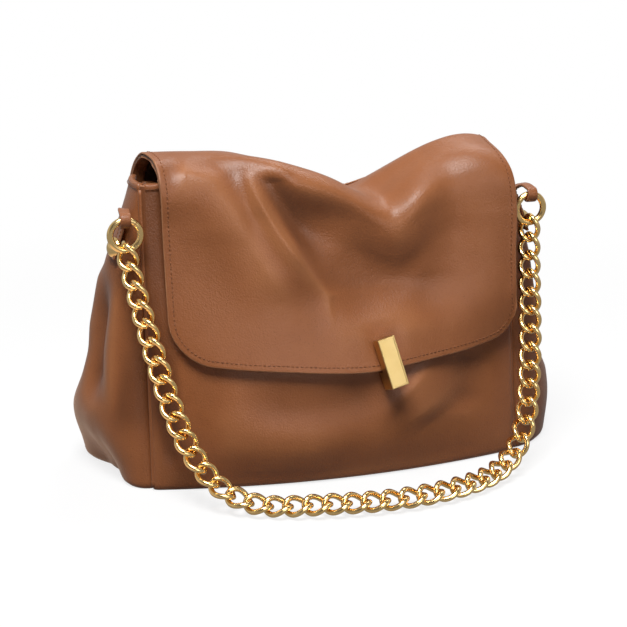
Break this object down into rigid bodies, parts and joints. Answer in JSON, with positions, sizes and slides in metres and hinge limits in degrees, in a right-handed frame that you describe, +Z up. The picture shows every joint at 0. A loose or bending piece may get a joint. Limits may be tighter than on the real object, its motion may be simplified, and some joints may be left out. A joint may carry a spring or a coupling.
{
  "type": "chain shoulder bag",
  "caption": "Soft leather shoulder bag with bellows sides, a fold-over flap held by a magnetic bar clasp, and a curb chain strap hung from rings on leather tabs.",
  "frame": {"origin": "middle of the base on the surface that the bag stands on", "axes": "+X to the right of someone facing the front, +Y to the back, +Z up; the flap and clasp are on the -Y side"},
  "size_m": [0.3494, 0.1922, 0.222],
  "materials": {
    "cognac_leather": "smooth grained, soft sheen",
    "lining_fabric": "woven twill",
    "polished_gold": "polished gold plate",
    "satin_gold": "satin gold plate",
    "plain_steel": "plain",
    "magnet": "nickel plated magnet",
    "fibre_board": "fibre board"
  },
  "bodies": {
    "bag": {"front_panel": "cognac_leather", "back_panel": "cognac_leather", "base_panel": "cognac_leather", "left_gusset": "cognac_leather", "right_gusset": "cognac_leather", "front_lining": "lining_fabric", "back_lining": "lining_fabric", "left_gusset_lining": "lining_fabric", "right_gusset_lining": "lining_fabric", "base_lining": "lining_fabric", "base_board": "fibre_board", "slip_pocket": "lining_fabric", "pocket_binding": "cognac_leather", "left_tab": "cognac_leather", "right_tab": "cognac_leather", "left_tab_stud": "polished_gold", "right_tab_stud": "polished_gold", "left_stud_washer": "plain_steel", "right_stud_washer": "plain_steel", "keeper_case": "satin_gold", "keeper_magnet": "magnet", "keeper_rivets": "satin_gold", "keeper_washer": "plain_steel"},
    "flap_top": {"flap_crown": "cognac_leather", "crown_lining": "lining_fabric"},
    "flap_front": {"flap_face": "cognac_leather", "face_lining": "lining_fabric", "clasp_bar": "satin_gold", "clasp_inlay": "satin_gold", "clasp_magnet": "magnet", "clasp_back_plate": "satin_gold", "clasp_screws": "plain_steel"},
    "left_ring": {"left_ring": "polished_gold"},
    "right_ring": {"right_ring": "polished_gold"},
    "strap": {"left_end_link": "polished_gold", "left_chain_run": "polished_gold", "floor_chain_run": "polished_gold", "right_chain_run": "polished_gold", "right_end_link": "polished_gold"}
  },
  "joints": [
    {"name": "flap_lift", "type": "hinge", "parent": "bag", "child": "flap_top", "pos_m": [0, 0.0252, 0.17864], "axis": [-1, 0, 0], "range_deg": [0, 110]},
    {"name": "flap_fold", "type": "hinge", "parent": "flap_top", "child": "flap_front", "pos_m": [0, -0.0325, 0.17864], "axis": [-1, 0, 0], "range_deg": [0, 80]},
    {"name": "left_ring_swing", "type": "hinge", "parent": "bag", "child": "left_ring", "pos_m": [-0.1415, -0.032, 0.1845], "axis": [-1, 0, 0], "range_deg": [0, 95]},
    {"name": "right_ring_swing", "type": "hinge", "parent": "bag", "child": "right_ring", "pos_m": [0.1415, -0.032, 0.1845], "axis": [-1, 0, 0], "range_deg": [0, 95]},
    {"name": "strap_swing", "type": "hinge", "parent": "left_ring", "child": "strap", "pos_m": [-0.1415, -0.032, 0.1645], "axis": [-1, 0, 0], "range_deg": [0, 40]}
  ],
  "couplings": [
    {"joint": "right_ring_swing", "follows": "left_ring_swing", "ratio": 1}
  ]
}
